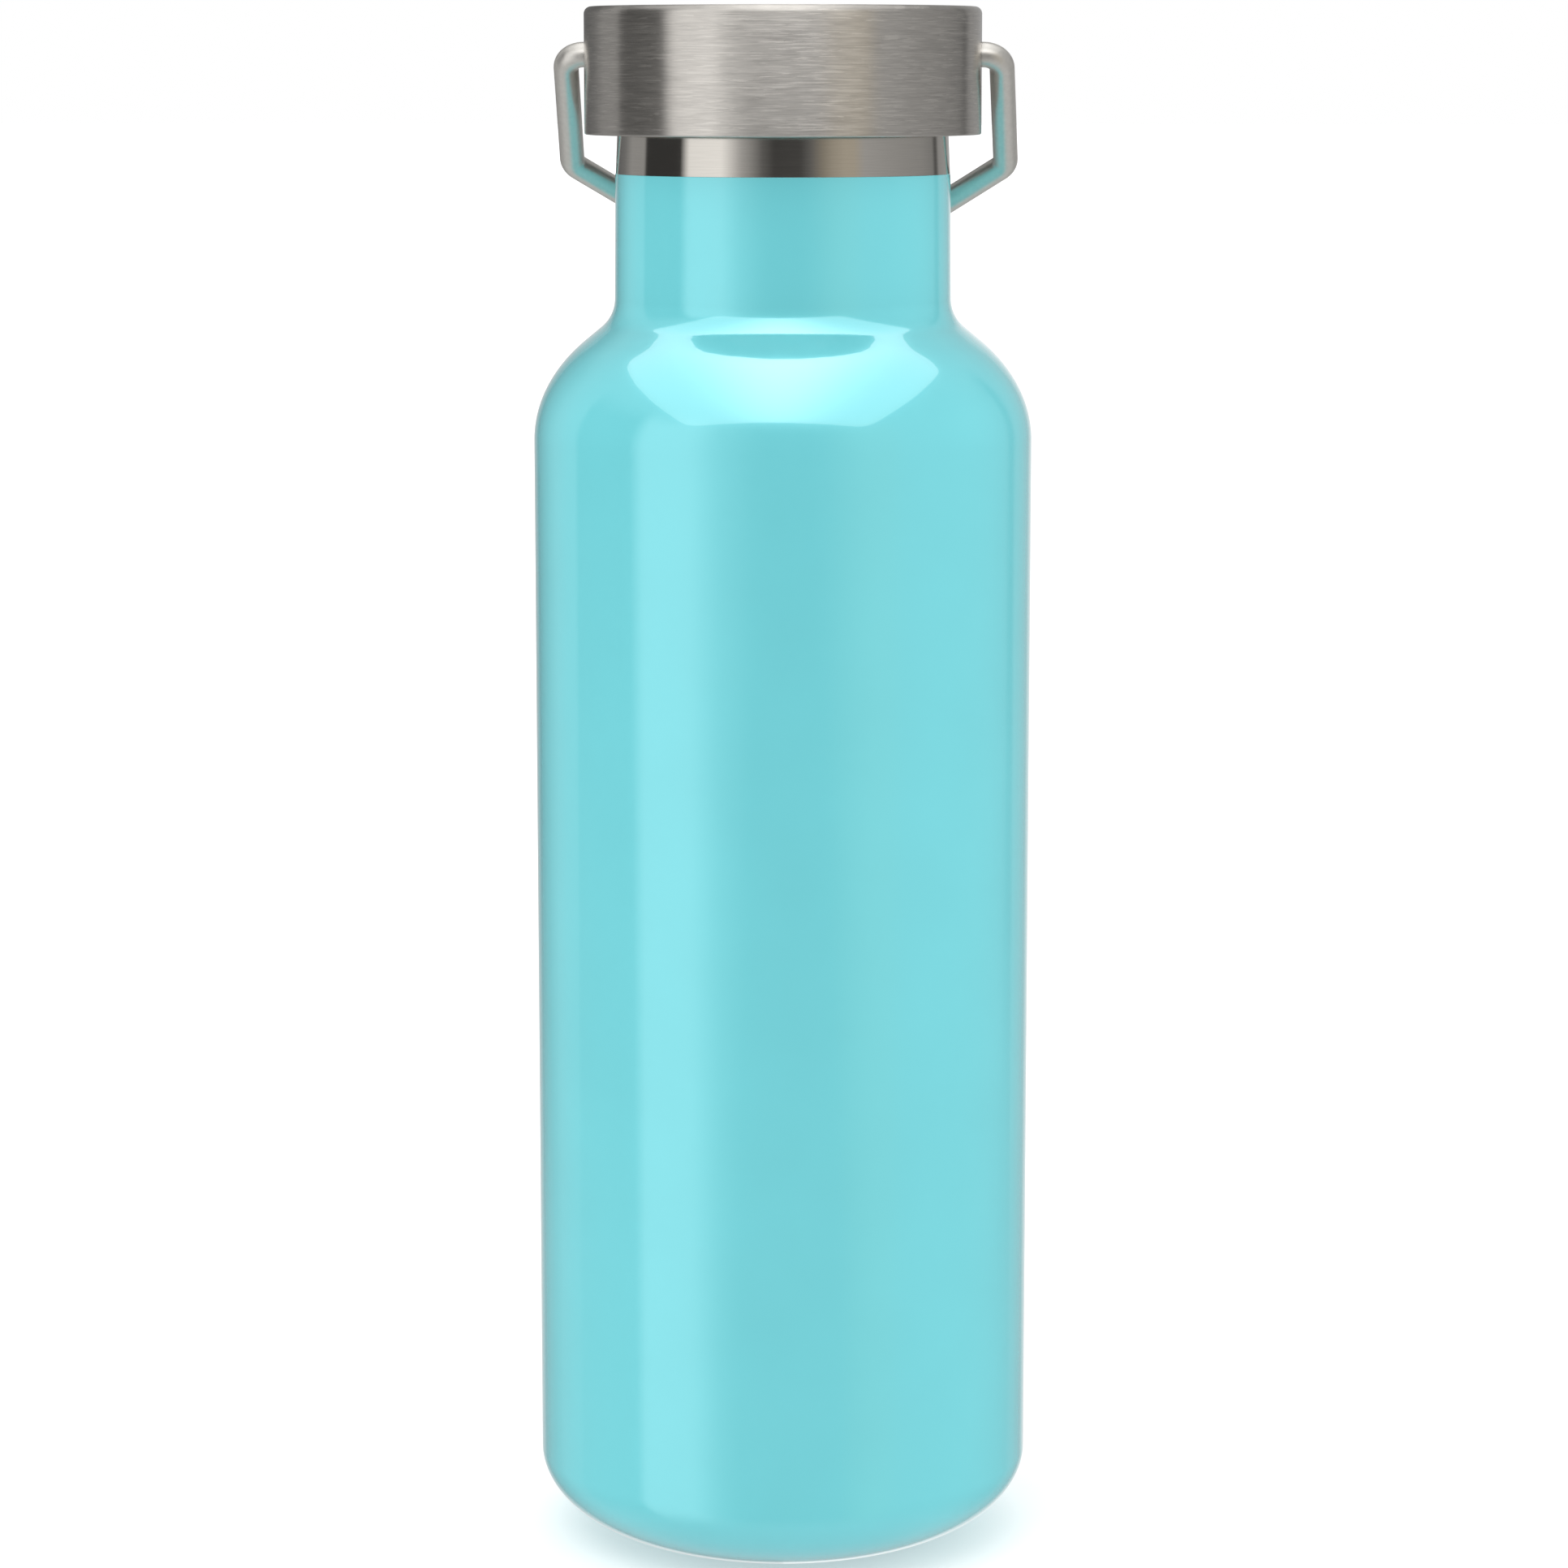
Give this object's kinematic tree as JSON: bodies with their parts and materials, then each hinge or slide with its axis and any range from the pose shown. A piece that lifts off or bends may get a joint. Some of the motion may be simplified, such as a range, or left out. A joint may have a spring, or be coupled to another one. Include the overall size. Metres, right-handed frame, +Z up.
{
  "type": "insulated water bottle",
  "caption": "Double-wall steel water bottle with a painted body, narrow neck, screw lid with a foam-filled plug, and a hinged rod handle.",
  "frame": {"origin": "centre of the foot ring, on the surface that the bottle stands on", "axes": "+Z up along the bottle's axis; the handle's pivots are at -X and +X, and the handle hangs at the back, +Y"},
  "size_m": [0.07, 0.07, 0.2181],
  "materials": {
    "paint": "gloss",
    "polished_steel": "polished",
    "brushed_steel": "brushed",
    "handle_steel": "satin",
    "inner_steel": "satin",
    "copper_foil": "polished",
    "getter": "matt",
    "seal_glass": "gloss",
    "plug_plastic": "matt",
    "foam": "matt",
    "silicone": "matt"
  },
  "bodies": {
    "bottle": {"outer_shell": "paint", "outer_base": "polished_steel", "vacuum_seal": "seal_glass", "getter": "getter", "radiation_foil": "copper_foil", "inner_liner": "inner_steel", "inner_base": "inner_steel"},
    "seal": {"lid_gasket": "silicone"},
    "lid": {"lid_shell": "brushed_steel", "lid_plug": "plug_plastic", "lid_insulation": "foam", "pivot_bush_left": "plug_plastic", "pivot_bush_right": "plug_plastic"},
    "handle": {"bail_handle": "handle_steel"}
  },
  "joints": [
    {"name": "lid_lift", "type": "slide", "parent": "bottle", "child": "seal", "axis": [0, 0, 1], "range_m": [0, 0.032]},
    {"name": "lid_turn", "type": "hinge", "parent": "seal", "child": "lid", "pos_m": [0, 0, 0.2035], "axis": [0, 0, 1], "range_deg": [0, 2880]},
    {"name": "handle_swing", "type": "hinge", "parent": "lid", "child": "handle", "pos_m": [0, 0, 0.2115], "axis": [1, 0, 0], "range_deg": [0, 270]}
  ],
  "couplings": [
    {"joint": "lid_lift", "follows": "lid_turn", "m_per_rad": 0.00063662}
  ]
}
